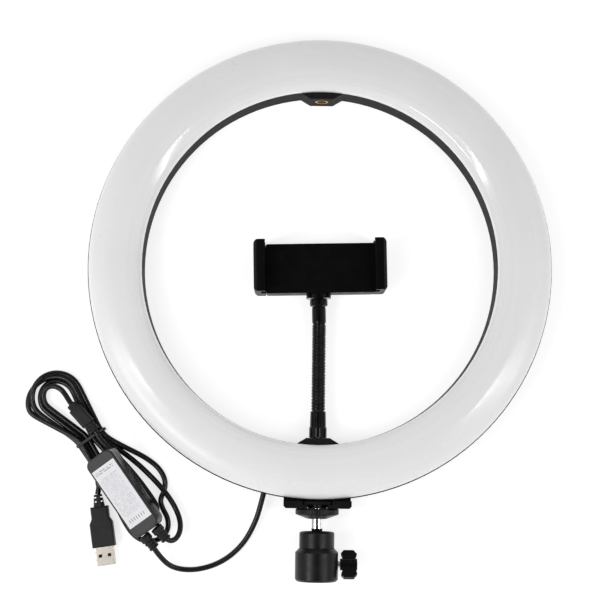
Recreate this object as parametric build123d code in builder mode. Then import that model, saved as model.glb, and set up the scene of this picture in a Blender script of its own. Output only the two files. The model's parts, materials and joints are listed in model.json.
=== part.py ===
"""Ring light with a phone clamp on a gooseneck, a ball head and a USB lead, lying on its back."""

import os
from math import cos, pi, radians, sin, tan

from build123d import *

os.makedirs("parts", exist_ok=True)

# ---- driving dimensions, mm ----
# The light shines along +Z. +Y runs from the ball head to the top of the ring.
RING_Y = 27.0
RING_OUTER_R = 150.0
RING_INNER_R = 115.0
RING_DEPTH = 30.0
SHELL_DEPTH = 19.0
SHELL_WALL = 2.4
SHELL_EDGE_R = 3.0
INNER_EDGE_R = 0.6
DIFFUSER_WALL = 1.8
DIFFUSER_OUTER_INSET = 0.8
DIFFUSER_INNER_INSET = 0.1
DIFFUSER_SKIRT_TOP = 21.5
SEAM_GAP = 0.2

BOARD_INNER_R = 118.5
BOARD_OUTER_R = 141.0
BOARD_BOTTOM = 13.0
BOARD_THICKNESS = 1.6
CHIP_SIZE = 3.5
CHIP_HEIGHT = 0.8
CHIP_RING_RADII = (125.0, 135.0)
CHIPS_PER_RING = 48
STANDOFF_R = 3.0
STANDOFF_COUNT = 6
POST_CIRCLE_R = 143.9
POST_R = 2.5
POST_COUNT = 8
POST_END = 9.2
SCREW_HEAD_R = 2.4
SCREW_HEAD_HEIGHT = 1.6
SCREW_SHANK_R = 1.1

BOSS_FACE_R = 110.6
BOSS_FACE_WIDTH = 15.0
BOSS_BASE_WIDTH = 31.0
BOSS_DEPTH = 9.0
NECK_Z = 9.5
QUARTER_INCH_R = 3.175
INSERT_R = 4.4
INSERT_LENGTH = 7.4
FIT_GAP = 0.05
SLIP_GAP = 0.15

BLOCK_WIDTH = 43.0
BLOCK_END_R = 154.9
BLOCK_INNER_R = 141.5
BLOCK_BOTTOM = 3.2
BLOCK_STEP_Z = 12.6
BLOCK_TOP = 25.6
HEAD_Z = 14.4
SHOE_WIDTH = 18.6
SHOE_THICKNESS = 2.0
SHOE_PLATE_R = 150.6
RAIL_GAP_WIDTH = 12.8
SOCKET_SCREW_PLACES = ((-15, -144.5), (15, -144.5))

STEM_R = 3.8
BALL_R = 8.0
BALL_DROP = 177.8
COLLAR_R = 11.15
COLLAR_TOP = 169.9
HOUSING_R = 13.65
HOUSING_TOP = 180.1
SEAT_END = 188.4
SHELF_DROP = 194.4
HOUSING_END = 200.8
WING_DROP = 190.2
WING_SHAFT_R = 2.1
WING_START = 14.9
WING_END = 25.7
WING_SPAN = 18.7
WING_TURN = 30.0

NECK_R = 4.4
NECK_START = 92.9
NECK_END = 37.2
SECTION_COUNT = 7
RIBS_PER_SECTION = 4
RIB_R = 0.7
NECK_CORE_R = 3.5
NECK_BALL_R = 2.4
NECK_CUP_R = 2.6

NECK_COLLAR_END = 25.3
CLAMP_LEAN = 1.6
CLAMP_FOOT_START = 10.6
CLAMP_FOOT_END = 20.2
CLAMP_LOW = -17.1
CLAMP_HIGH = 15.1
CLAMP_BACK = 2.0
CLAMP_FRONT = 16.8
CLAMP_LEFT = -34.15
CLAMP_RIGHT = 43.8
JAW_WIDTH = 7.5
JAW_LOW = -17.0
JAW_HIGH = 16.6
JAW_CORNER_R = 2.8
JAW_FRONT = 30.0
JAW_ARM = 4.6
LIP_DEPTH = 3.2
LEFT_JAW_OUTER = -41.8

CORD_DIAMETER = 3.5
CORD_R = CORD_DIAMETER / 2
LEAD_ANGLE = 256.0
LEAD_HEIGHT = 8.0
LEAD_HOLE_R = 3.0
CONTROLLER_CENTRE = (-122.4, -119.4, 16.9)
CONTROLLER_HEADING = -54.1
CONTROLLER_ROLL = 13.0
CONTROLLER_LENGTH = 58.0
CONTROLLER_WIDTH = 20.0
CONTROLLER_HEIGHT = 13.0
BUTTON_SIDES = (-15.0, -5.0, 5.0, 15.0)
BUTTON_R = 2.6
BUTTON_TRAVEL = 0.8

# ---- cord routes, chosen by hand ----
RING_LEAD_ROUTE = (
    (-35.6, -115.6, 8.0),
    (-38.4, -126.8, 8.0),
    (-42.0, -138.3, 5.4),
    (-48.9, -150.9, 2.6),
    (-60.5, -162.6, 1.95),
    (-75.3, -168.5, 1.95),
    (-88.6, -167.6, 4.4),
    (-97.7, -160.2, 11.0),
    (-105.5, -151.4, 13.7),
)
USB_LEAD_ROUTE = (
    (-98.0, -146.0, 15.9),
    (-94.6, -149.7, 14.8),
    (-90.2, -149.5, 12.6),
    (-87.4, -145.2, 9.9),
    (-87.3, -138.8, 7.2),
    (-90.5, -131.0, 5.6),
    (-95.6, -122.0, 5.9),
    (-102.6, -114.3, 6.3),
    (-109.9, -107.2, 6.0),
    (-117.9, -101.0, 5.6),
)
PLUG_LEAD_ROUTE = (
    (-134.7, -106.3, 4.0),
    (-138.8, -110.2, 4.0),
    (-140.6, -115.4, 4.0),
    (-141.1, -120.9, 4.0),
)


def bend_radii(route):
    """Radius of the arc at each corner of a route, as large as its two runs allow."""
    points = [Vector(*point) for point in route]
    radii = []
    for before, corner, after in zip(points, points[1:], points[2:]):
        run_in = corner - before
        run_out = after - corner
        turn = radians(run_in.get_angle(run_out))
        radii.append(0.45 * min(run_in.length, run_out.length) / tan(turn / 2))
    return radii


def around_ring(radius, angle, height):
    """Point at a radius and an angle about the ring's axis."""
    return (radius * cos(radians(angle)), RING_Y + radius * sin(radians(angle)), height)


# ---- shared planes and axes ----
RING_SECTION = Plane(origin=(0, RING_Y, 0), x_dir=(1, 0, 0), z_dir=(0, -1, 0))
RING_AXIS = Axis((0, RING_Y, 0), (0, 0, 1))
RING_FACE = Plane.XY.shift_origin((0, RING_Y, 0))
# In the next two, local x is the distance from the axis and local y the distance below the centre.
HEAD_SECTION = Plane(origin=(0, RING_Y, HEAD_Z), x_dir=(1, 0, 0), z_dir=(0, 0, -1))
HEAD_AXIS = Axis((0, RING_Y, HEAD_Z), (0, 1, 0))
NECK_SECTION = Plane(origin=(0, RING_Y, NECK_Z), x_dir=(1, 0, 0), z_dir=(0, 0, -1))
NECK_AXIS = Axis((0, RING_Y, NECK_Z), (0, 1, 0))


def below_centre(drop, height):
    """Plane across the Y axis at a distance below the ring's centre, facing the ball head."""
    return Plane(origin=(0, RING_Y - drop, height), x_dir=(1, 0, 0), z_dir=(0, -1, 0))


def facing_right(x, y, z):
    """Plane across the X axis through a point, with local x along +Y and local y along +Z."""
    return Plane(origin=(x, y, z), x_dir=(0, 1, 0), z_dir=(1, 0, 0))


standoff_places = PolarLocations(130.0, STANDOFF_COUNT, start_angle=0)
post_places = PolarLocations(POST_CIRCLE_R, POST_COUNT, start_angle=22.5)

# ==== ring ====
with BuildPart() as rear_shell:
    with BuildSketch(RING_SECTION):
        with BuildLine():
            Polyline(
                (RING_INNER_R + INNER_EDGE_R, 0),
                (RING_OUTER_R - SHELL_EDGE_R, 0),
                (RING_OUTER_R, SHELL_EDGE_R),
                (RING_OUTER_R, SHELL_DEPTH),
                (RING_OUTER_R - SHELL_WALL, SHELL_DEPTH),
                (RING_OUTER_R - SHELL_WALL, SHELL_EDGE_R + 0.6),
                (RING_OUTER_R - SHELL_EDGE_R, SHELL_WALL),
                (RING_INNER_R + SHELL_WALL, SHELL_WALL),
                (RING_INNER_R + SHELL_WALL, SHELL_DEPTH),
                (RING_INNER_R, SHELL_DEPTH),
                (RING_INNER_R, INNER_EDGE_R),
                close=True,
            )
        make_face()
    revolve(axis=RING_AXIS)
    # Inner bosses at the top and the bottom of the ring.
    for side in (1, -1):
        with BuildSketch(RING_FACE):
            with BuildLine():
                Polyline(
                    (-BOSS_FACE_WIDTH / 2, side * BOSS_FACE_R),
                    (BOSS_FACE_WIDTH / 2, side * BOSS_FACE_R),
                    (BOSS_BASE_WIDTH / 2, side * (RING_INNER_R + 0.4)),
                    (BOSS_BASE_WIDTH / 2 - 5, side * (BOSS_FACE_R + BOSS_DEPTH + 2)),
                    (-BOSS_BASE_WIDTH / 2 + 5, side * (BOSS_FACE_R + BOSS_DEPTH + 2)),
                    (-BOSS_BASE_WIDTH / 2, side * (RING_INNER_R + 0.4)),
                    close=True,
                )
            make_face()
        extrude(amount=BOARD_BOTTOM - 0.2)
        with BuildSketch(RING_FACE.offset(BOARD_BOTTOM - 0.3)):
            with BuildLine():
                Polyline(
                    (-BOSS_FACE_WIDTH / 2, side * BOSS_FACE_R),
                    (BOSS_FACE_WIDTH / 2, side * BOSS_FACE_R),
                    (BOSS_BASE_WIDTH / 2, side * (RING_INNER_R + 0.4)),
                    (BOSS_BASE_WIDTH / 2 - 2, side * (RING_INNER_R + 2)),
                    (-BOSS_BASE_WIDTH / 2 + 2, side * (RING_INNER_R + 2)),
                    (-BOSS_BASE_WIDTH / 2, side * (RING_INNER_R + 0.4)),
                    close=True,
                )
            make_face()
        extrude(amount=SHELL_DEPTH - BOARD_BOTTOM + 0.3)
    for side in (1, -1):
        with BuildSketch(below_centre(side * BOSS_FACE_R, NECK_Z)):
            Circle(INSERT_R)
        extrude(amount=side * (INSERT_LENGTH + 0.3), mode=Mode.SUBTRACT)
    # Standoffs under the LED board and posts that take the diffuser's screws.
    with BuildSketch(RING_FACE.offset(SHELL_WALL - 0.4)):
        with standoff_places:
            Circle(STANDOFF_R)
        with post_places:
            Circle(POST_R)
    extrude(amount=POST_END - SHELL_WALL)
    with BuildSketch(RING_FACE.offset(POST_END - 0.6)):
        with standoff_places:
            Circle(STANDOFF_R)
    extrude(amount=BOARD_BOTTOM - POST_END + 0.6 - FIT_GAP)
    with BuildSketch(RING_FACE.offset(BOARD_BOTTOM - 8)):
        with standoff_places:
            Circle(SCREW_SHANK_R)
    extrude(amount=9, mode=Mode.SUBTRACT)
    with BuildSketch(RING_FACE):
        with post_places:
            Circle(SCREW_HEAD_R + FIT_GAP)
    extrude(amount=SCREW_HEAD_HEIGHT + 0.3, mode=Mode.SUBTRACT)
    with BuildSketch(RING_FACE):
        with post_places:
            Circle(SCREW_SHANK_R + FIT_GAP)
    extrude(amount=POST_END + 1, mode=Mode.SUBTRACT)
    # Window for the cold shoe block, with the two screws' clearance in its floor.
    with BuildSketch(RING_FACE.offset(BLOCK_BOTTOM - 0.1)):
        with Locations((0, -(RING_OUTER_R + BLOCK_INNER_R) / 2 - 2)):
            Rectangle(BLOCK_WIDTH + 0.2, RING_OUTER_R - BLOCK_INNER_R + 4.2)
    extrude(amount=BLOCK_STEP_Z - BLOCK_BOTTOM + 0.2, mode=Mode.SUBTRACT)
    with BuildSketch(RING_FACE):
        with Locations(*SOCKET_SCREW_PLACES):
            Circle(SCREW_HEAD_R + FIT_GAP)
    extrude(amount=SCREW_HEAD_HEIGHT - 0.2, mode=Mode.SUBTRACT)
    with BuildSketch(RING_FACE):
        with Locations(*SOCKET_SCREW_PLACES):
            Circle(SCREW_SHANK_R + FIT_GAP)
    extrude(amount=BLOCK_BOTTOM + 0.5, mode=Mode.SUBTRACT)
    # Hole for the lead, beside the block.
    lead_hole = Plane(
        origin=around_ring(RING_OUTER_R + 2, LEAD_ANGLE, LEAD_HEIGHT),
        z_dir=(cos(radians(LEAD_ANGLE)), sin(radians(LEAD_ANGLE)), 0),
    )
    with BuildSketch(lead_hole):
        Circle(LEAD_HOLE_R)
    extrude(amount=-8, mode=Mode.SUBTRACT)
rear_shell.part.label = "rear_shell"
export_step(rear_shell.part, "parts/rear_shell.step")

with BuildPart() as front_diffuser:
    skirt_bottom = SHELL_DEPTH + SEAM_GAP
    dome_outer_r = RING_OUTER_R - DIFFUSER_OUTER_INSET
    dome_inner_r = RING_INNER_R + DIFFUSER_INNER_INSET
    dome_middle_r = (dome_outer_r + dome_inner_r) / 2
    half_width = (dome_outer_r - dome_inner_r) / 2
    crown = RING_DEPTH - DIFFUSER_SKIRT_TOP
    with BuildSketch(RING_SECTION):
        with BuildLine():
            EllipticalCenterArc(
                (dome_middle_r, DIFFUSER_SKIRT_TOP), half_width, crown, start_angle=0, arc_size=180
            )
            Polyline(
                (dome_middle_r - half_width, DIFFUSER_SKIRT_TOP),
                (dome_middle_r - half_width, skirt_bottom),
                (dome_middle_r + half_width, skirt_bottom),
                (dome_middle_r + half_width, DIFFUSER_SKIRT_TOP),
            )
        make_face()
        with BuildLine():
            EllipticalCenterArc(
                (dome_middle_r, DIFFUSER_SKIRT_TOP),
                half_width - DIFFUSER_WALL,
                crown - DIFFUSER_WALL,
                start_angle=0,
                arc_size=180,
            )
            Polyline(
                (dome_middle_r - half_width + DIFFUSER_WALL, DIFFUSER_SKIRT_TOP),
                (dome_middle_r - half_width + DIFFUSER_WALL, skirt_bottom - 1),
                (dome_middle_r + half_width - DIFFUSER_WALL, skirt_bottom - 1),
                (dome_middle_r + half_width - DIFFUSER_WALL, DIFFUSER_SKIRT_TOP),
            )
        make_face(mode=Mode.SUBTRACT)
    revolve(axis=RING_AXIS)
    with BuildSketch(RING_FACE.offset(POST_END + SEAM_GAP)):
        with post_places:
            Circle(POST_R)
    extrude(amount=DIFFUSER_SKIRT_TOP + 3 - POST_END)
    with BuildSketch(RING_FACE.offset(POST_END - 1)):
        with post_places:
            Circle(SCREW_SHANK_R)
    extrude(amount=8, mode=Mode.SUBTRACT)
front_diffuser.part.label = "front_diffuser"
export_step(front_diffuser.part, "parts/front_diffuser.step")

with BuildPart() as led_board:
    with BuildSketch(RING_FACE.offset(BOARD_BOTTOM)):
        Circle(BOARD_OUTER_R)
        Circle(BOARD_INNER_R, mode=Mode.SUBTRACT)
        with standoff_places:
            Circle(SCREW_SHANK_R + FIT_GAP, mode=Mode.SUBTRACT)
    extrude(amount=BOARD_THICKNESS)
led_board.part.label = "led_board"
export_step(led_board.part, "parts/led_board.step")

with BuildPart() as led_chips:
    with BuildSketch(RING_FACE.offset(BOARD_BOTTOM + BOARD_THICKNESS)):
        for chip_ring_r in CHIP_RING_RADII:
            with PolarLocations(chip_ring_r, CHIPS_PER_RING, start_angle=180 / CHIPS_PER_RING):
                Rectangle(CHIP_SIZE, CHIP_SIZE * 0.8)
    extrude(amount=CHIP_HEIGHT)
led_chips.part.label = "led_chips"
export_step(led_chips.part, "parts/led_chips.step")

with BuildPart() as board_screws:
    with BuildSketch(RING_FACE.offset(BOARD_BOTTOM + BOARD_THICKNESS)):
        with standoff_places:
            Circle(SCREW_HEAD_R)
    extrude(amount=SCREW_HEAD_HEIGHT)
    with BuildSketch(RING_FACE.offset(BOARD_BOTTOM + BOARD_THICKNESS)):
        with standoff_places:
            Circle(SCREW_SHANK_R)
    extrude(amount=-6)
board_screws.part.label = "board_screws"
export_step(board_screws.part, "parts/board_screws.step")

with BuildPart() as shell_screws:
    with BuildSketch(RING_FACE.offset(0.3)):
        with post_places:
            Circle(SCREW_HEAD_R)
    extrude(amount=SCREW_HEAD_HEIGHT)
    with BuildSketch(RING_FACE.offset(0.3)):
        with post_places:
            Circle(SCREW_SHANK_R)
    extrude(amount=13)
    with BuildSketch(RING_FACE.offset(0.3)):
        with post_places:
            Rectangle(3.2, 0.7)
            Rectangle(0.7, 3.2)
    extrude(amount=0.8, mode=Mode.SUBTRACT)
shell_screws.part.label = "shell_screws"
export_step(shell_screws.part, "parts/shell_screws.step")

# Brass inserts, blind ended, threaded 1/4 inch.
for insert_name, side in (("upper_thread_insert", -1), ("lower_thread_insert", 1)):
    with BuildPart() as thread_insert:
        with BuildSketch(below_centre(side * (BOSS_FACE_R + 0.2), NECK_Z)):
            Circle(INSERT_R - FIT_GAP)
        extrude(amount=side * INSERT_LENGTH)
        with BuildSketch(below_centre(side * (BOSS_FACE_R + 0.2), NECK_Z)):
            Circle(QUARTER_INCH_R)
        extrude(amount=side * (INSERT_LENGTH - 1), mode=Mode.SUBTRACT)
    thread_insert.part.label = insert_name
    export_step(thread_insert.part, f"parts/{insert_name}.step")

with BuildPart() as cable_grommet:
    with BuildSketch(lead_hole.offset(-1.8)):
        Circle(LEAD_HOLE_R - FIT_GAP)
        Circle(CORD_R + FIT_GAP, mode=Mode.SUBTRACT)
    extrude(amount=-2.7)
cable_grommet.part.label = "cable_grommet"
export_step(cable_grommet.part, "parts/cable_grommet.step")

# Cold shoe: a block in the shell's outer wall with a channel that is open towards the front.
with BuildPart() as shoe_socket:
    with BuildSketch(RING_FACE.offset(BLOCK_BOTTOM)):
        with Locations((0, -(BLOCK_INNER_R + BLOCK_END_R) / 2)):
            Rectangle(BLOCK_WIDTH, BLOCK_END_R - BLOCK_INNER_R)
    extrude(amount=BLOCK_STEP_Z - BLOCK_BOTTOM)
    with BuildSketch(RING_FACE.offset(BLOCK_STEP_Z - 0.5)):
        with Locations((0, -(RING_OUTER_R + 0.25 + BLOCK_END_R) / 2)):
            Rectangle(BLOCK_WIDTH, BLOCK_END_R - RING_OUTER_R - 0.25)
    extrude(amount=BLOCK_TOP - BLOCK_STEP_Z + 0.5)
    outer_corners = shoe_socket.edges().filter_by(Axis.Z).group_by(Axis.Y)[0]
    chamfer(outer_corners, length=1.4)
    with BuildSketch(RING_FACE.offset(HEAD_Z - SHOE_WIDTH / 2 - 0.1)):
        with Locations((0, -(SHOE_PLATE_R + SHOE_THICKNESS / 2 - 0.25))):
            Rectangle(SHOE_WIDTH + 2 * SLIP_GAP, SHOE_THICKNESS + 2 * SLIP_GAP + 0.5)
        with Locations((0, -(SHOE_PLATE_R + SHOE_THICKNESS + 2))):
            Rectangle(RAIL_GAP_WIDTH, 5)
    extrude(amount=BLOCK_TOP, mode=Mode.SUBTRACT)
    with BuildSketch(RING_FACE.offset(BLOCK_BOTTOM)):
        with Locations(*SOCKET_SCREW_PLACES):
            Circle(SCREW_SHANK_R)
    extrude(amount=6, mode=Mode.SUBTRACT)
shoe_socket.part.label = "shoe_socket"
export_step(shoe_socket.part, "parts/shoe_socket.step")

with BuildPart() as socket_screws:
    with BuildSketch(RING_FACE.offset(0.2)):
        with Locations(*SOCKET_SCREW_PLACES):
            Circle(SCREW_HEAD_R)
    extrude(amount=1.2)
    with BuildSketch(RING_FACE.offset(0.2)):
        with Locations(*SOCKET_SCREW_PLACES):
            Circle(SCREW_SHANK_R)
    extrude(amount=8.4)
socket_screws.part.label = "socket_screws"
export_step(socket_screws.part, "parts/socket_screws.step")

# ==== ball head ====
STEM_TOP = SHOE_PLATE_R + SHOE_THICKNESS + 0.2
with BuildPart() as shoe_foot:
    with BuildSketch(RING_FACE.offset(HEAD_Z - SHOE_WIDTH / 2)):
        with Locations((0, -(SHOE_PLATE_R + SHOE_THICKNESS / 2))):
            Rectangle(SHOE_WIDTH, SHOE_THICKNESS)
    extrude(amount=SHOE_WIDTH)
    chamfer(shoe_foot.edges().filter_by(Axis.Y), length=1.0)
    with BuildSketch(below_centre(SHOE_PLATE_R + SHOE_THICKNESS - 0.2, HEAD_Z)):
        Circle(6.0)
    extrude(amount=2.6)
    with BuildSketch(below_centre(STEM_TOP, HEAD_Z)):
        Circle(3.2)
    extrude(amount=4, mode=Mode.SUBTRACT)
shoe_foot.part.label = "shoe_foot"
export_step(shoe_foot.part, "parts/shoe_foot.step")

with BuildPart() as ball_stem:
    with BuildSketch(HEAD_SECTION):
        with BuildLine():
            Polyline(
                (0, STEM_TOP + 0.1),
                (3.15, STEM_TOP + 0.1),
                (3.15, 155.1),
                (STEM_R, 155.1),
                (STEM_R, BALL_DROP - 10),
                (3.0, BALL_DROP - 7.6),
                (3.0, BALL_DROP),
                (0, BALL_DROP),
                close=True,
            )
        make_face()
    revolve(axis=HEAD_AXIS)
    with Locations((0, RING_Y - BALL_DROP, HEAD_Z)):
        Sphere(BALL_R)
ball_stem.part.label = "ball_stem"
export_step(ball_stem.part, "parts/ball_stem.step")

with BuildPart() as lock_wheel:
    with BuildSketch(HEAD_SECTION):
        with BuildLine():
            Polyline(
                (STEM_R + SLIP_GAP, 155.35),
                (13.2, 155.35),
                (13.8, 155.95),
                (13.8, 158.6),
                (13.2, 159.2),
                (6.2, 161.7),
                (STEM_R + SLIP_GAP, 161.7),
                close=True,
            )
        make_face()
    revolve(axis=HEAD_AXIS)
    with BuildSketch(below_centre(155.35, HEAD_Z)):
        with PolarLocations(13.95, 48):
            Rectangle(0.8, 0.8, rotation=45)
    extrude(amount=5, mode=Mode.SUBTRACT)
lock_wheel.part.label = "lock_wheel"
export_step(lock_wheel.part, "parts/lock_wheel.step")

BALL_CAVITY_R = BALL_R + 0.2
WING_PLANE = facing_right(0, RING_Y - WING_DROP, HEAD_Z)
with BuildPart() as socket_collar:
    with BuildSketch(HEAD_SECTION):
        with BuildLine():
            Polyline(
                (9.9, COLLAR_TOP),
                (COLLAR_R - 0.7, COLLAR_TOP),
                (COLLAR_R, COLLAR_TOP + 0.7),
                (COLLAR_R, HOUSING_TOP - SLIP_GAP),
                (BALL_CAVITY_R, HOUSING_TOP - SLIP_GAP),
                (BALL_CAVITY_R, BALL_DROP),
                (BALL_CAVITY_R, BALL_DROP - 0.1),
                (7.42, BALL_DROP - 3.5),
                close=True,
            )
        make_face()
    revolve(axis=HEAD_AXIS)
    with Locations((0, RING_Y - BALL_DROP, HEAD_Z)):
        Sphere(BALL_CAVITY_R, mode=Mode.SUBTRACT)
socket_collar.part.label = "socket_collar"
export_step(socket_collar.part, "parts/socket_collar.step")

with BuildPart() as ball_housing:
    with BuildSketch(HEAD_SECTION):
        with BuildLine():
            Polyline(
                (8.6, HOUSING_TOP),
                (COLLAR_R, HOUSING_TOP),
                (HOUSING_R, HOUSING_TOP + 2.6),
                (HOUSING_R, HOUSING_END - 1.2),
                (HOUSING_R - 1.2, HOUSING_END),
                (5.0, HOUSING_END),
                (5.0, SHELF_DROP),
                (8.6, SHELF_DROP),
                close=True,
            )
        make_face()
    revolve(axis=HEAD_AXIS)
    with BuildSketch(WING_PLANE):
        Circle(WING_SHAFT_R + FIT_GAP)
    extrude(amount=20, mode=Mode.SUBTRACT)
ball_housing.part.label = "ball_housing"
export_step(ball_housing.part, "parts/ball_housing.step")

with BuildPart() as ball_seat:
    with BuildSketch(HEAD_SECTION):
        with BuildLine():
            Polyline(
                (0, SEAT_END - 4.6),
                (8.5, SEAT_END - 6.1),
                (8.5, SEAT_END - 2.6),
                (5.4, SEAT_END),
                (0, SEAT_END),
                close=True,
            )
        make_face()
    revolve(axis=HEAD_AXIS)
    with Locations((0, RING_Y - BALL_DROP, HEAD_Z)):
        Sphere(BALL_CAVITY_R, mode=Mode.SUBTRACT)
    with BuildSketch(WING_PLANE):
        Circle(WING_SHAFT_R + 0.3)
    extrude(amount=20, mode=Mode.SUBTRACT)
ball_seat.part.label = "ball_seat"
export_step(ball_seat.part, "parts/ball_seat.step")

with BuildPart() as tripod_thread_insert:
    with BuildSketch(HEAD_SECTION):
        with BuildLine():
            Polyline(
                (0, SHELF_DROP - 1.6),
                (8.5, SHELF_DROP - 1.6),
                (8.5, SHELF_DROP - FIT_GAP),
                (4.95, SHELF_DROP - FIT_GAP),
                (4.95, HOUSING_END - 0.3),
                (QUARTER_INCH_R, HOUSING_END - 0.3),
                (QUARTER_INCH_R, SHELF_DROP + 0.2),
                (0, SHELF_DROP + 0.2),
                close=True,
            )
        make_face()
    revolve(axis=HEAD_AXIS)
tripod_thread_insert.part.label = "tripod_thread_insert"
export_step(tripod_thread_insert.part, "parts/tripod_thread_insert.step")

# The wing screw: a shaft in the housing's side and a two-lobed knob on it.
with BuildPart() as wing_screw_shaft:
    with BuildSketch(WING_PLANE.offset(5.6)):
        Circle(WING_SHAFT_R)
    extrude(amount=WING_END - 8)
    chamfer(wing_screw_shaft.edges().group_by(Axis.X)[0], length=0.8)
wing_screw_shaft.part.label = "wing_screw_shaft"
export_step(wing_screw_shaft.part, "parts/wing_screw_shaft.step")

with BuildPart() as wing_knob:
    with BuildSketch(WING_PLANE.offset(WING_START)):
        Circle(3.7)
    extrude(amount=WING_END - WING_START)
    lobe_reach = WING_SPAN / 2
    lobe_facing = (0, sin(radians(WING_TURN)), cos(radians(WING_TURN)))
    lobe_middle = Plane(origin=(0, RING_Y - WING_DROP, HEAD_Z), x_dir=(1, 0, 0), z_dir=lobe_facing)
    with BuildSketch(lobe_middle.offset(-1.7)):
        with BuildLine():
            Polyline(
                (WING_START + 1.6, 0),
                (WING_START + 1.6, lobe_reach - 5.2),
                (WING_START + 0.6, lobe_reach - 2.2),
                (WING_START + 2.4, lobe_reach),
                (WING_END - 2.2, lobe_reach),
                (WING_END, lobe_reach - 2.6),
                (WING_END - 2.2, 0),
                (WING_END, -lobe_reach + 2.6),
                (WING_END - 2.2, -lobe_reach),
                (WING_START + 2.4, -lobe_reach),
                (WING_START + 0.6, -lobe_reach + 2.2),
                (WING_START + 1.6, -lobe_reach + 5.2),
                close=True,
            )
        make_face()
    extrude(amount=3.4)
    with BuildSketch(WING_PLANE.offset(WING_START - 1)):
        Circle(WING_SHAFT_R)
    extrude(amount=WING_END - 8 + 5.6 - WING_START + 1, mode=Mode.SUBTRACT)
wing_knob.part.label = "wing_knob"
export_step(wing_knob.part, "parts/wing_knob.step")

# ==== gooseneck ====
with BuildPart() as neck_lower_stud:
    with BuildSketch(NECK_SECTION):
        with BuildLine():
            Polyline(
                (0, 97.0),
                (3.0, 97.0),
                (3.0, BOSS_FACE_R),
                (3.1, BOSS_FACE_R),
                (3.1, 116.2),
                (2.5, 116.8),
                (0, 116.8),
                close=True,
            )
        make_face()
    revolve(axis=NECK_AXIS)
neck_lower_stud.part.label = "neck_lower_stud"
export_step(neck_lower_stud.part, "parts/neck_lower_stud.step")

with BuildPart() as neck_lower_sleeve:
    with BuildSketch(NECK_SECTION):
        with BuildLine():
            Polyline(
                (0, NECK_START + 0.4),
                (4.6, NECK_START + 0.4),
                (5.0, NECK_START + 0.9),
                (5.2, 103.0),
                (5.7, 104.2),
                (5.7, 110.0),
                (5.3, BOSS_FACE_R - 0.2),
                (3.05, BOSS_FACE_R - 0.2),
                (3.05, 96.9),
                (0, 96.9),
                close=True,
            )
        make_face()
    revolve(axis=NECK_AXIS)
    with Locations((0, RING_Y - NECK_START, NECK_Z)):
        Sphere(NECK_BALL_R)
neck_lower_sleeve.part.label = "neck_lower_sleeve"
export_step(neck_lower_sleeve.part, "parts/neck_lower_sleeve.step")

# The neck's top and the clamp lean a little to the left about the last ball.
LAST_BALL = Location((0, RING_Y - NECK_END, 0))
CLAMP_HOLD = LAST_BALL * Location((0, 0, 0), (0, 0, CLAMP_LEAN)) * LAST_BALL.inverse()
SECTION_LENGTH = (NECK_START - NECK_END) / SECTION_COUNT
RIB_PITCH = SECTION_LENGTH / RIBS_PER_SECTION
for section in range(SECTION_COUNT):
    foot_drop = NECK_START - section * SECTION_LENGTH
    head_drop = foot_drop - SECTION_LENGTH
    with BuildPart() as neck_section:
        with BuildSketch(NECK_SECTION):
            with Locations((NECK_CORE_R / 2, (foot_drop + head_drop) / 2)):
                Rectangle(NECK_CORE_R, SECTION_LENGTH - 0.8)
            for rib in range(RIBS_PER_SECTION):
                with Locations((NECK_R - RIB_R, head_drop + (rib + 0.5) * RIB_PITCH)):
                    Circle(RIB_R)
        revolve(axis=NECK_AXIS)
        with Locations((0, RING_Y - head_drop, NECK_Z)):
            Sphere(NECK_BALL_R)
        with Locations((0, RING_Y - foot_drop, NECK_Z)):
            Sphere(NECK_CUP_R, mode=Mode.SUBTRACT)
    neck_section.part.label = f"neck_section_{section + 1}"
    export_step(neck_section.part, f"parts/neck_section_{section + 1}.step")

with BuildPart() as neck_upper_sleeve:
    with BuildSketch(NECK_SECTION):
        with BuildLine():
            Polyline(
                (2.0, NECK_COLLAR_END + 0.2),
                (4.2, NECK_COLLAR_END + 0.2),
                (4.55, NECK_COLLAR_END + 1.5),
                (4.55, NECK_END - 1.8),
                (4.1, NECK_END - 0.4),
                (0, NECK_END - 0.4),
                (0, NECK_COLLAR_END + 5.5),
                (2.0, NECK_COLLAR_END + 5.5),
                close=True,
            )
        make_face()
    revolve(axis=NECK_AXIS)
    with Locations((0, RING_Y - NECK_END, NECK_Z)):
        Sphere(NECK_CUP_R, mode=Mode.SUBTRACT)
neck_upper_sleeve.part.label = "neck_upper_sleeve"
export_step(neck_upper_sleeve.part.moved(CLAMP_HOLD), "parts/neck_upper_sleeve.step")

with BuildPart() as neck_upper_collar:
    with BuildSketch(NECK_SECTION):
        with BuildLine():
            Polyline(
                (0, CLAMP_FOOT_START + 0.5),
                (3.1, CLAMP_FOOT_START + 0.5),
                (3.1, CLAMP_FOOT_END + 0.4),
                (5.2, CLAMP_FOOT_END + 0.4),
                (5.8, CLAMP_FOOT_END + 1.0),
                (5.8, NECK_COLLAR_END - 0.6),
                (5.2, NECK_COLLAR_END),
                (1.95, NECK_COLLAR_END),
                (1.95, NECK_COLLAR_END + 5.3),
                (0, NECK_COLLAR_END + 5.3),
                close=True,
            )
        make_face()
    revolve(axis=NECK_AXIS)
neck_upper_collar.part.label = "neck_upper_collar"
export_step(neck_upper_collar.part.moved(CLAMP_HOLD), "parts/neck_upper_collar.step")

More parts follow.
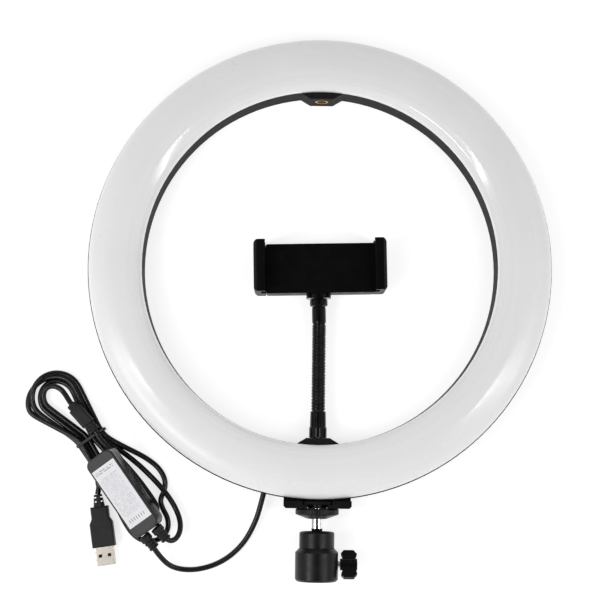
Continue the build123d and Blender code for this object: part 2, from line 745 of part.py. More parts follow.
# ==== phone clamp ====
with BuildPart() as clamp_foot:
    with BuildSketch(NECK_SECTION):
        with BuildLine():
            Polyline(
                (3.2, CLAMP_FOOT_START),
                (6.0, CLAMP_FOOT_START),
                (6.0, -CLAMP_LOW + 0.1),
                (7.6, -CLAMP_LOW + 0.1),
                (8.1, -CLAMP_LOW + 0.6),
                (8.1, CLAMP_FOOT_END),
                (3.2, CLAMP_FOOT_END),
                close=True,
            )
        make_face()
    revolve(axis=NECK_AXIS)
clamp_foot.part.label = "clamp_foot"
export_step(clamp_foot.part.moved(CLAMP_HOLD), "parts/clamp_foot.step")

FIXED_JAW_INNER = CLAMP_RIGHT - JAW_WIDTH
body_length = FIXED_JAW_INNER + 2 - CLAMP_LEFT
body_middle_x = CLAMP_LEFT + body_length / 2
body_middle_y = (CLAMP_LOW + CLAMP_HIGH) / 2
CLAMP_WALL = 2.0
TONGUE_HALF = 7.0
TONGUE_BACK = 8.6
TONGUE_THICKNESS = 2.4
TONGUE_Y = 2.4
CLAMP_SCREW_PLACES = ((-26, -14.2), (-26, 12.2), (29, -14.2), (29, 12.2))
with BuildPart() as clamp_body:
    with BuildSketch(RING_FACE.offset(CLAMP_BACK + CLAMP_WALL)):
        with Locations((body_middle_x, body_middle_y)):
            RectangleRounded(body_length, CLAMP_HIGH - CLAMP_LOW, 1.6)
    extrude(amount=CLAMP_FRONT - CLAMP_BACK - CLAMP_WALL)
    with BuildSketch(RING_FACE.offset(CLAMP_BACK + CLAMP_WALL)):
        with Locations((body_middle_x, body_middle_y)):
            Rectangle(body_length - 2 * CLAMP_WALL - 2, CLAMP_HIGH - CLAMP_LOW - 2 * CLAMP_WALL)
    extrude(amount=CLAMP_FRONT - CLAMP_BACK - 2 * CLAMP_WALL - 1, mode=Mode.SUBTRACT)
    # Fixed jaw on the right, with a lip that holds the phone's front edge.
    with BuildSketch(below_centre(-JAW_HIGH, 0)):
        with BuildLine():
            Polyline(
                (FIXED_JAW_INNER, CLAMP_BACK),
                (CLAMP_RIGHT - 2.5, CLAMP_BACK),
                (CLAMP_RIGHT, CLAMP_BACK + 2.5),
                (CLAMP_RIGHT, JAW_FRONT - 3),
                (CLAMP_RIGHT - 2, JAW_FRONT),
                (FIXED_JAW_INNER + 0.8, JAW_FRONT),
                (FIXED_JAW_INNER, JAW_FRONT - 0.8),
                (FIXED_JAW_INNER, JAW_FRONT - LIP_DEPTH),
                (CLAMP_RIGHT - JAW_ARM, JAW_FRONT - LIP_DEPTH),
                (CLAMP_RIGHT - JAW_ARM, CLAMP_FRONT + 0.4),
                (FIXED_JAW_INNER, CLAMP_FRONT - 1),
                close=True,
            )
        make_face()
    extrude(amount=JAW_HIGH - JAW_LOW)
    with BuildSketch(RING_FACE):
        with Locations(((CLAMP_LEFT - 10 + CLAMP_RIGHT) / 2, (JAW_HIGH + JAW_LOW - 0.1) / 2)):
            RectangleRounded(CLAMP_RIGHT - CLAMP_LEFT + 10, JAW_HIGH - JAW_LOW + 0.3, JAW_CORNER_R)
    extrude(amount=JAW_FRONT + 1, mode=Mode.INTERSECT)
    # Slot in the left wall for the sliding jaw's tongue, and bosses for the cover's screws.
    with BuildSketch(facing_right(CLAMP_LEFT - 1, RING_Y, 0)):
        with Locations((TONGUE_Y, TONGUE_BACK + TONGUE_THICKNESS / 2)):
            Rectangle(2 * TONGUE_HALF + 0.6, TONGUE_THICKNESS + 0.6)
    extrude(amount=6, mode=Mode.SUBTRACT)
    with BuildSketch(RING_FACE.offset(CLAMP_BACK + CLAMP_WALL)):
        with Locations(*CLAMP_SCREW_PLACES):
            Circle(2.4)
    extrude(amount=CLAMP_FRONT - CLAMP_BACK - CLAMP_WALL - 1)
    with BuildSketch(RING_FACE.offset(CLAMP_BACK + CLAMP_WALL)):
        with Locations(*CLAMP_SCREW_PLACES):
            Circle(SCREW_SHANK_R)
    extrude(amount=7, mode=Mode.SUBTRACT)
    # Pocket for the threaded foot.
    with BuildSketch(below_centre(CLAMP_FOOT_START - 2, NECK_Z)):
        Circle(6.05)
    extrude(amount=12, mode=Mode.SUBTRACT)
clamp_body.part.label = "clamp_body"
export_step(clamp_body.part.moved(CLAMP_HOLD), "parts/clamp_body.step")

with BuildPart() as clamp_back_cover:
    with BuildSketch(RING_FACE.offset(CLAMP_BACK)):
        with Locations((body_middle_x - 1.2, body_middle_y)):
            RectangleRounded(body_length - 2.4, CLAMP_HIGH - CLAMP_LOW, 1.6)
    extrude(amount=CLAMP_WALL - 0.1)
    chamfer(clamp_back_cover.faces().sort_by(Axis.Z)[0].edges(), length=0.6)
    with BuildSketch(RING_FACE.offset(CLAMP_BACK)):
        with Locations(*CLAMP_SCREW_PLACES):
            Circle(SCREW_HEAD_R - 0.4 + FIT_GAP)
    extrude(amount=0.9, mode=Mode.SUBTRACT)
    with BuildSketch(RING_FACE.offset(CLAMP_BACK)):
        with Locations(*CLAMP_SCREW_PLACES):
            Circle(SCREW_SHANK_R + FIT_GAP)
    extrude(amount=4, mode=Mode.SUBTRACT)
    with BuildSketch(below_centre(CLAMP_FOOT_START - 2, NECK_Z)):
        Circle(6.05)
    extrude(amount=12, mode=Mode.SUBTRACT)
clamp_back_cover.part.label = "clamp_back_cover"
export_step(clamp_back_cover.part.moved(CLAMP_HOLD), "parts/clamp_back_cover.step")

with BuildPart() as clamp_screws:
    with BuildSketch(RING_FACE.offset(CLAMP_BACK + 0.1)):
        with Locations(*CLAMP_SCREW_PLACES):
            Circle(SCREW_HEAD_R - 0.4)
    extrude(amount=0.8)
    with BuildSketch(RING_FACE.offset(CLAMP_BACK + 0.1)):
        with Locations(*CLAMP_SCREW_PLACES):
            Circle(SCREW_SHANK_R)
    extrude(amount=7)
clamp_screws.part.label = "clamp_screws"
export_step(clamp_screws.part.moved(CLAMP_HOLD), "parts/clamp_screws.step")

SLIDING_JAW_INNER = LEFT_JAW_OUTER + JAW_WIDTH
TONGUE_END = 22.0
with BuildPart() as sliding_jaw:
    with BuildSketch(below_centre(-JAW_HIGH, 0)):
        with BuildLine():
            Polyline(
                (SLIDING_JAW_INNER, CLAMP_BACK),
                (LEFT_JAW_OUTER + 2.5, CLAMP_BACK),
                (LEFT_JAW_OUTER, CLAMP_BACK + 2.5),
                (LEFT_JAW_OUTER, JAW_FRONT - 3),
                (LEFT_JAW_OUTER + 2, JAW_FRONT),
                (SLIDING_JAW_INNER - 0.8, JAW_FRONT),
                (SLIDING_JAW_INNER, JAW_FRONT - 0.8),
                (SLIDING_JAW_INNER, JAW_FRONT - LIP_DEPTH),
                (LEFT_JAW_OUTER + JAW_ARM, JAW_FRONT - LIP_DEPTH),
                (LEFT_JAW_OUTER + JAW_ARM, CLAMP_FRONT + 0.4),
                (SLIDING_JAW_INNER, CLAMP_FRONT - 1),
                close=True,
            )
        make_face()
    extrude(amount=JAW_HIGH - JAW_LOW)
    with BuildSketch(RING_FACE):
        with Locations((LEFT_JAW_OUTER + JAW_WIDTH, (JAW_HIGH + JAW_LOW) / 2)):
            RectangleRounded(2 * JAW_WIDTH, JAW_HIGH - JAW_LOW, JAW_CORNER_R)
    extrude(amount=JAW_FRONT + 1, mode=Mode.INTERSECT)
    with BuildSketch(RING_FACE.offset(TONGUE_BACK)):
        with Locations(((SLIDING_JAW_INNER - 1 + TONGUE_END) / 2, TONGUE_Y)):
            Rectangle(TONGUE_END - SLIDING_JAW_INNER + 1, 2 * TONGUE_HALF)
    extrude(amount=TONGUE_THICKNESS)
sliding_jaw.part.label = "sliding_jaw"
export_step(sliding_jaw.part.moved(CLAMP_HOLD), "parts/sliding_jaw.step")

pad_height = JAW_FRONT - LIP_DEPTH - CLAMP_FRONT - 0.8
for pad_name, pad_x, thickness in (
    ("sliding_jaw_pad", LEFT_JAW_OUTER + JAW_ARM, 1.6),
    ("fixed_jaw_pad", CLAMP_RIGHT - JAW_ARM, -1.6),
):
    with BuildPart() as jaw_pad:
        with BuildSketch(facing_right(pad_x, RING_Y, 0)):
            with Locations(((JAW_HIGH + JAW_LOW) / 2, CLAMP_FRONT + 0.6 + pad_height / 2)):
                RectangleRounded(JAW_HIGH - JAW_LOW - 4, pad_height, 1)
        extrude(amount=thickness)
    jaw_pad.part.label = pad_name
    export_step(jaw_pad.part.moved(CLAMP_HOLD), f"parts/{pad_name}.step")

# The closing spring lies along the tongue, drawn as its touching coils.
SPRING_Y = -7.6
SPRING_Z = 9.6
SPRING_START = -27.0
SPRING_COILS = 26
SPRING_PITCH = 1.2
with BuildPart() as jaw_spring:
    spring_origin = (SPRING_START, RING_Y + SPRING_Y, SPRING_Z)
    spring_section = Plane(origin=spring_origin, x_dir=(1, 0, 0), z_dir=(0, -1, 0))
    with BuildSketch(spring_section):
        with Locations((SPRING_COILS * SPRING_PITCH / 2, 1.6)):
            Rectangle(SPRING_COILS * SPRING_PITCH, 0.6)
        with Locations(*[((coil + 0.5) * SPRING_PITCH, 1.7) for coil in range(SPRING_COILS)]):
            Circle(0.55)
    revolve(axis=Axis(spring_origin, (1, 0, 0)))
jaw_spring.part.label = "jaw_spring"
export_step(jaw_spring.part.moved(CLAMP_HOLD), "parts/jaw_spring.step")

# ==== controller on the lead ====
heading = radians(CONTROLLER_HEADING)
roll = radians(CONTROLLER_ROLL)
CONTROLLER = Plane(
    origin=CONTROLLER_CENTRE,
    x_dir=(cos(heading), sin(heading), 0),
    z_dir=(sin(roll) * sin(heading), -sin(roll) * cos(heading), cos(roll)),
)
HALF_HEIGHT = CONTROLLER_HEIGHT / 2
CONTROLLER_AXIS = Axis(CONTROLLER.origin, CONTROLLER.z_dir)
with BuildPart() as controller_top_shell:
    with BuildSketch(CONTROLLER.offset(0.1)):
        RectangleRounded(CONTROLLER_LENGTH, CONTROLLER_WIDTH, 5)
    extrude(amount=HALF_HEIGHT - 0.1)
    fillet(controller_top_shell.faces().sort_by(CONTROLLER_AXIS)[-1].edges(), 1.2)
    with BuildSketch(CONTROLLER):
        RectangleRounded(CONTROLLER_LENGTH - 3, CONTROLLER_WIDTH - 3, 3.6)
    extrude(amount=HALF_HEIGHT - 1.6, mode=Mode.SUBTRACT)
controller_top_shell.part.label = "controller_top_shell"
export_step(controller_top_shell.part, "parts/controller_top_shell.step")

with BuildPart() as controller_bottom_shell:
    with BuildSketch(CONTROLLER.offset(-0.1)):
        RectangleRounded(CONTROLLER_LENGTH, CONTROLLER_WIDTH, 5)
    extrude(amount=-(HALF_HEIGHT - 0.1))
    fillet(controller_bottom_shell.faces().sort_by(CONTROLLER_AXIS)[0].edges(), 1.2)
    with BuildSketch(CONTROLLER):
        RectangleRounded(CONTROLLER_LENGTH - 3, CONTROLLER_WIDTH - 3, 3.6)
    extrude(amount=-(HALF_HEIGHT - 1.6), mode=Mode.SUBTRACT)
    with BuildSketch(CONTROLLER):
        with Locations(*[(side, 0) for side in BUTTON_SIDES]):
            Circle(BUTTON_R + SLIP_GAP)
    extrude(amount=-HALF_HEIGHT - 1, mode=Mode.SUBTRACT)
controller_bottom_shell.part.label = "controller_bottom_shell"
export_step(controller_bottom_shell.part, "parts/controller_bottom_shell.step")

with BuildPart() as controller_board:
    with BuildSketch(CONTROLLER.offset(-0.4)):
        RectangleRounded(CONTROLLER_LENGTH - 3.4, CONTROLLER_WIDTH - 3.4, 3)
    extrude(amount=1.2)
    with BuildSketch(CONTROLLER.offset(0.8)):
        with Locations((-12, 2), (6, -3)):
            Rectangle(6, 4)
    extrude(amount=1.4)
controller_board.part.label = "controller_board"
export_step(controller_board.part, "parts/controller_board.step")

with BuildPart() as controller_label:
    with BuildSketch(CONTROLLER.offset(HALF_HEIGHT + 0.01)):
        Rectangle(43.0, 17.2)
    extrude(amount=0.15)
controller_label.part.label = "controller_label"
export_step(controller_label.part, "parts/controller_label.step")

# Push buttons in the controller's underside, each with a flange that keeps it in.
for number, side in enumerate(BUTTON_SIDES, start=1):
    with BuildPart() as push_button:
        with BuildSketch(CONTROLLER.offset(-HALF_HEIGHT - 0.3)):
            with Locations((side, 0)):
                Circle(BUTTON_R)
        extrude(amount=3.4)
        with BuildSketch(CONTROLLER.offset(-HALF_HEIGHT + 1.75)):
            with Locations((side, 0)):
                Circle(BUTTON_R + 0.9)
        extrude(amount=1.0)
    push_button.part.label = f"push_button_{number}"
    export_step(push_button.part, f"parts/push_button_{number}.step")

# Tapered strain reliefs where the two leads enter the controller's lower end.
BOOT_HEADING = -48.2
BOOT_DIP = 12.0
BOOT_LENGTH = 10.0
boot_direction = Vector(
    cos(radians(BOOT_HEADING)) * cos(radians(BOOT_DIP)),
    sin(radians(BOOT_HEADING)) * cos(radians(BOOT_DIP)),
    -sin(radians(BOOT_DIP)),
)
for boot_name, boot_side in (("ring_lead_boot", -6.0), ("usb_lead_boot", 3.6)):
    boot_root = CONTROLLER.from_local_coords((CONTROLLER_LENGTH / 2 + 0.9, boot_side, -0.6))
    boot_side_direction = boot_direction.cross(Vector(0, 0, 1)).normalized()
    boot_section = Plane(
        origin=boot_root, x_dir=boot_side_direction, z_dir=boot_side_direction.cross(boot_direction)
    )
    with BuildPart() as boot:
        with BuildSketch(boot_section):
            with BuildLine():
                Polyline(
                    (CORD_R + SLIP_GAP, 0),
                    (3.9, 0),
                    (3.9, 3.4),
                    (3.0, 4.0),
                    (3.0, 4.7),
                    (3.5, 4.7),
                    (3.5, 6.0),
                    (2.6, 6.0),
                    (2.6, 6.8),
                    (3.1, 6.8),
                    (3.1, 8.0),
                    (2.4, 8.0),
                    (2.4, 8.8),
                    (3.4, 8.8),
                    (3.4, BOOT_LENGTH),
                    (CORD_R + SLIP_GAP, BOOT_LENGTH),
                    close=True,
                )
            make_face()
        revolve(axis=Axis(boot_root, boot_direction))
    boot.part.label = boot_name
    export_step(boot.part, f"parts/{boot_name}.step")
    print(boot_name, "ends at", boot_root + boot_direction * BOOT_LENGTH)

# ==== cord ====
for lead_name, route in (
    ("ring_lead", RING_LEAD_ROUTE),
    ("usb_lead", USB_LEAD_ROUTE),
    ("plug_lead", PLUG_LEAD_ROUTE),
):
    radii = bend_radii(route)
    with BuildPart() as lead:
        with BuildLine() as lead_path:
            FilletPolyline(*route, radius=radii)
        with BuildSketch(Plane(lead_path.line @ 0, z_dir=lead_path.line % 0)):
            Circle(CORD_R)
        sweep()
    lead.part.label = lead_name
    export_step(lead.part, f"parts/{lead_name}.step")
    length = sum(edge.length for edge in lead_path.edges())
    section_times_length = pi * CORD_R**2 * length
    print(lead_name, "length", round(length, 1), "radii", [round(r, 1) for r in radii])
    print("   volume", round(lead.part.volume, 1), "section x length", round(section_times_length, 1))

# The hank: a flat loop at its far end, a tied waist, and turns that spread under the controller.
TIE_MIDDLE = (-146.5, -85.1)
TIE_HEADING = -54.9
HANK_BOTTOM = 0.1
HANK_TOP = 7.6
LOW_TOP = 3.8
TIE_PLANE = Plane(
    origin=(TIE_MIDDLE[0], TIE_MIDDLE[1], HANK_BOTTOM),
    x_dir=(-sin(radians(TIE_HEADING)), cos(radians(TIE_HEADING)), 0),
    z_dir=(cos(radians(TIE_HEADING)), sin(radians(TIE_HEADING)), 0),
)
COUPLER_HEADING = -47.0
COUPLER_PLANE = Plane(
    origin=(-159.5, -63.9, 8.1),
    x_dir=(sin(radians(COUPLER_HEADING)), -cos(radians(COUPLER_HEADING)), 0),
    z_dir=(cos(radians(COUPLER_HEADING)), sin(radians(COUPLER_HEADING)), 0),
)
with BuildPart() as cord_hank:
    with BuildSketch(Plane.XY.offset(HANK_BOTTOM)):
        with BuildLine() as loop_outline:
            Polyline(
                (-137.6, -82.6),
                (-149.1, -69.0),
                (-149.2, -55.0),
                (-157.7, -44.1),
                (-171.7, -41.2),
                (-184.2, -45.8),
                (-191.6, -55.3),
                (-191.0, -67.3),
                (-181.5, -77.3),
                (-166.4, -83.7),
                (-151.8, -96.3),
                close=True,
            )
        make_face()
        fillet(loop_outline.vertices(), radius=3)
        with BuildLine():
            Polyline(
                (-162.6, -64.1),
                (-166.6, -57.2),
                (-172.2, -53.2),
                (-176.6, -54.7),
                (-177.1, -61.7),
                (-173.5, -67.2),
                (-165.5, -71.7),
                close=True,
            )
        make_face(mode=Mode.SUBTRACT)
    extrude(amount=HANK_TOP - HANK_BOTTOM)
    # Turns on the surface around and under the controller's lower end.
    with BuildSketch(Plane.XY.offset(HANK_BOTTOM)):
        with BuildLine():
            Polyline(
                (-140.0, -80.2),
                (-116.4, -92.8),
                (-102.8, -100.2),
                (-96.7, -110.2),
                (-97.0, -120.7),
                (-97.6, -128.7),
                (-95.6, -138.7),
                (-96.5, -146.7),
                (-102.9, -152.1),
                (-110.9, -153.2),
                (-118.0, -148.8),
                (-126.5, -136.4),
                (-133.1, -123.9),
                (-137.6, -112.5),
                (-142.8, -106.5),
                (-153.4, -94.6),
                close=True,
            )
        make_face()
    extrude(amount=LOW_TOP - HANK_BOTTOM)
    # The thicker bundle under the controller.
    with BuildSketch(Plane.XY.offset(HANK_BOTTOM)):
        with BuildLine():
            Polyline(
                (-139.9, -81.0),
                (-120.3, -96.3),
                (-111.3, -106.8),
                (-104.2, -121.7),
                (-104.1, -133.7),
                (-110.0, -140.8),
                (-118.0, -138.3),
                (-126.1, -126.9),
                (-133.7, -110.4),
                (-152.4, -93.6),
                close=True,
            )
        make_face()
    extrude(amount=HANK_TOP - HANK_BOTTOM)
    # Groove for the twist tie, and the hollow in which the coupler lies.
    with BuildSketch(TIE_PLANE):
        with Locations((0, (HANK_TOP - HANK_BOTTOM) / 2)):
            Rectangle(40, 20)
            RectangleRounded(19.2, HANK_TOP - HANK_BOTTOM - 3.0, 1.2, mode=Mode.SUBTRACT)
    extrude(amount=1.1, both=True, mode=Mode.SUBTRACT)
    with BuildSketch(COUPLER_PLANE.offset(-0.4)):
        with Locations((0, 4)):
            Rectangle(10.2, 16.6)
    extrude(amount=27.6, mode=Mode.SUBTRACT)
cord_hank.part.label = "cord_hank"
export_step(cord_hank.part, "parts/cord_hank.step")

with BuildPart() as twist_tie:
    with BuildSketch(TIE_PLANE):
        with Locations((0, (HANK_TOP - HANK_BOTTOM) / 2)):
            RectangleRounded(22.0, HANK_TOP - HANK_BOTTOM - 0.2, 1.6)
            RectangleRounded(19.7, HANK_TOP - HANK_BOTTOM - 2.7, 1.0, mode=Mode.SUBTRACT)
    extrude(amount=0.8, both=True)
twist_tie.part.label = "twist_tie"
export_step(twist_tie.part, "parts/twist_tie.step")

# Moulded coupler in the lead: tip, body and a ribbed tail.
with BuildPart() as inline_coupler:
    with BuildSketch(COUPLER_PLANE):
        RectangleRounded(6.4, 6.0, 1.4)
    extrude(amount=4.0)
    with BuildSketch(COUPLER_PLANE.offset(3.6)):
        RectangleRounded(8.6, 7.8, 1.6)
    extrude(amount=13.4)
    with BuildSketch(COUPLER_PLANE.offset(16.8)):
        RectangleRounded(6.0, 5.6, 1.4)
    extrude(amount=6.4)
    for rib in range(3):
        with BuildSketch(COUPLER_PLANE.offset(18.0 + rib * 2)):
            RectangleRounded(7.2, 6.8, 1.6)
        extrude(amount=1.0)
    coupler_axis = Axis(COUPLER_PLANE.origin, COUPLER_PLANE.z_dir)
    chamfer(inline_coupler.faces().sort_by(coupler_axis)[0].edges(), 0.5)
inline_coupler.part.label = "inline_coupler"
export_step(inline_coupler.part, "parts/inline_coupler.step")

# ==== USB-A plug ====
PLUG_TOP = Vector(-141.2, -121.4, 4.0)
PLUG_HEADING = -81.1
PLUG = Plane(
    origin=PLUG_TOP,
    x_dir=(-sin(radians(PLUG_HEADING)), cos(radians(PLUG_HEADING)), 0),
    z_dir=(cos(radians(PLUG_HEADING)), sin(radians(PLUG_HEADING)), 0),
)
RELIEF_LENGTH = 7.8
OVERMOULD_END = 33.6
SHELL_REACH = 11.8
with BuildPart() as usb_strain_relief:
    with BuildSketch(PLUG):
        RectangleRounded(5.0, 5.0, 1.6)
    with BuildSketch(PLUG.offset(RELIEF_LENGTH - 0.1)):
        RectangleRounded(7.0, 6.2, 1.6)
    loft()
    with BuildSketch(Plane.XY):
        for row in (1.9, 4.6):
            for side in (-1.9, 1.9):
                place = PLUG.from_local_coords((side, 0, row))
                with Locations((place.X, place.Y)):
                    SlotOverall(1.9, 0.9, rotation=PLUG_HEADING + 90)
    extrude(amount=9, mode=Mode.SUBTRACT)
usb_strain_relief.part.label = "usb_strain_relief"
export_step(usb_strain_relief.part, "parts/usb_strain_relief.step")

with BuildPart() as usb_overmould:
    with BuildSketch(Plane.XY.offset(0.2)):
        with BuildLine():
            corners = [
                PLUG.from_local_coords((across, 0, along))
                for across, along in (
                    (5.6, RELIEF_LENGTH),
                    (5.6, RELIEF_LENGTH + 7.4),
                    (7.3, RELIEF_LENGTH + 10.6),
                    (7.3, OVERMOULD_END),
                    (-7.3, OVERMOULD_END),
                    (-7.3, RELIEF_LENGTH + 10.6),
                    (-5.6, RELIEF_LENGTH + 7.4),
                    (-5.6, RELIEF_LENGTH),
                )
            ]
            Polyline(*[(corner.X, corner.Y) for corner in corners], close=True)
        make_face()
    extrude(amount=7.6)
    fillet(usb_overmould.faces().sort_by(Axis.Z)[-1].edges(), 1.0)
    fillet(usb_overmould.faces().sort_by(Axis.Z)[0].edges(), 0.6)
    with BuildSketch(PLUG.offset(OVERMOULD_END - 6)):
        Rectangle(12.1, 4.6)
    extrude(amount=8, mode=Mode.SUBTRACT)
usb_overmould.part.label = "usb_overmould"
export_step(usb_overmould.part, "parts/usb_overmould.step")

with BuildPart() as usb_shell:
    with BuildSketch(PLUG.offset(OVERMOULD_END - 5.8)):
        RectangleRounded(12.0, 4.5, 0.5)
        Rectangle(11.4, 3.9, mode=Mode.SUBTRACT)
    extrude(amount=5.8 + SHELL_REACH)
    with BuildSketch(Plane.XY):
        for side in (-2.9, 2.9):
            place = PLUG.from_local_coords((side, 0, OVERMOULD_END + 5.4))
            with Locations((place.X, place.Y)):
                Rectangle(2.1, 2.1, rotation=PLUG_HEADING + 90)
    extrude(amount=12, mode=Mode.SUBTRACT)
usb_shell.part.label = "usb_shell"
export_step(usb_shell.part, "parts/usb_shell.step")

with BuildPart() as usb_tongue:
    with BuildSketch(PLUG.offset(OVERMOULD_END - 5.6)):
        with Locations((0, -0.95)):
            Rectangle(11.2, 1.8)
    extrude(amount=5.6 + SHELL_REACH - 0.8)
usb_tongue.part.label = "usb_tongue"
export_step(usb_tongue.part, "parts/usb_tongue.step")
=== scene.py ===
import json
import math

import bpy
from mathutils import Matrix, Vector


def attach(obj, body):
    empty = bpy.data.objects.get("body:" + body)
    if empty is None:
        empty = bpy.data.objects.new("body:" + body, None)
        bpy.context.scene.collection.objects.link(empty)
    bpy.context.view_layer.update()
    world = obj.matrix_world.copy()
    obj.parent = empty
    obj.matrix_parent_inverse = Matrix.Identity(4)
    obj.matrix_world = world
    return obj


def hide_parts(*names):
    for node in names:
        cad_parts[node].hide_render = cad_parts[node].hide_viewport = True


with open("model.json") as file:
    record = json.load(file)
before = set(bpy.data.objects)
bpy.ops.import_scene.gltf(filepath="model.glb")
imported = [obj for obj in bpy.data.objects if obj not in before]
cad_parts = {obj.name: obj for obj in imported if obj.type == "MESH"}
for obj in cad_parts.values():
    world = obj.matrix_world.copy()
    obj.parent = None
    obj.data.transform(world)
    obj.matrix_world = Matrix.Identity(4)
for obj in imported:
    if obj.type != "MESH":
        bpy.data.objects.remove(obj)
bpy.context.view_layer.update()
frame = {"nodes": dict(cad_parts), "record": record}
nodes = frame["nodes"]
MM = 0.001
RING_Y = 27.0
NECK_Z = 9.5
CORD_D = 3.5
scene = bpy.context.scene

CONTROLLER_ROLL = math.radians(13.0)
CONTROLLER_HEADING = math.radians(-54.1)
CONTROLLER_UP = (
    math.sin(CONTROLLER_ROLL) * math.sin(CONTROLLER_HEADING),
    -math.sin(CONTROLLER_ROLL) * math.cos(CONTROLLER_HEADING),
    math.cos(CONTROLLER_ROLL),
)
LABEL_CENTRE = (-0.1242, -0.1206, 0.0230)


def mm(x, y, z):
    return Vector((x, y, z)) * MM


# ---------------------------------------------------------------- camera and light
CAMERA_ROLL = math.radians(0.75)
camera_place = mm(-18.5, -96.0, 900.5)
camera_target = mm(-12.7, 4.6, 20.0)
camera_data = bpy.data.cameras.new("camera")
camera_data.lens = 82.6
camera_data.sensor_width = 36.0
camera_data.clip_start = 0.05
camera_data.clip_end = 20.0
camera = bpy.data.objects.new("camera", camera_data)
scene.collection.objects.link(camera)
forward = (camera_target - camera_place).normalized()
right = forward.cross(Vector((0, 1, 0))).normalized()
level = Matrix((right, right.cross(forward), -forward)).transposed().to_4x4()
camera.matrix_world = Matrix.Translation(camera_place) @ level @ Matrix.Rotation(CAMERA_ROLL, 4, "Z")
scene.camera = camera
scene.view_settings.view_transform = "Standard"

world = bpy.data.worlds.new("studio")
scene.world = world
world.use_nodes = True
sky = world.node_tree
sky_coords = sky.nodes.new("ShaderNodeTexCoord")
sky_split = sky.nodes.new("ShaderNodeSeparateXYZ")
sky_ramp = sky.nodes.new("ShaderNodeValToRGB")
sky_ramp.color_ramp.elements[0].position = 0.45
sky_ramp.color_ramp.elements[0].color = (0.95, 0.95, 0.95, 1.0)
sky_ramp.color_ramp.elements[1].position = 0.95
sky_ramp.color_ramp.elements[1].color = (0.10, 0.10, 0.10, 1.0)
sky.links.new(sky_coords.outputs["Generated"], sky_split.inputs["Vector"])
sky.links.new(sky_split.outputs["Z"], sky_ramp.inputs["Fac"])
sky.links.new(sky_ramp.outputs["Color"], sky.nodes["Background"].inputs["Color"])
sky.nodes["Background"].inputs["Strength"].default_value = 0.8


def softbox(name, place, target, width, height, power):
    data = bpy.data.lights.new(name, "AREA")
    data.shape = "RECTANGLE"
    data.size = width
    data.size_y = height
    data.energy = power
    light = bpy.data.objects.new(name, data)
    scene.collection.objects.link(light)
    aim = (Vector(target) - Vector(place)).to_track_quat("-Z", "Y").to_matrix().to_4x4()
    light.matrix_world = Matrix.Translation(Vector(place)) @ aim


softbox("left_box", (-0.52, -0.16, 0.72), (-0.05, 0.03, 0.0), 0.07, 0.62, 1.7)
softbox("right_box", (0.52, -0.16, 0.72), (0.05, 0.03, 0.0), 0.07, 0.62, 1.7)
softbox("low_box", (-0.40, -0.36, 0.55), (-0.05, -0.04, 0.0), 0.30, 0.06, 0.9)


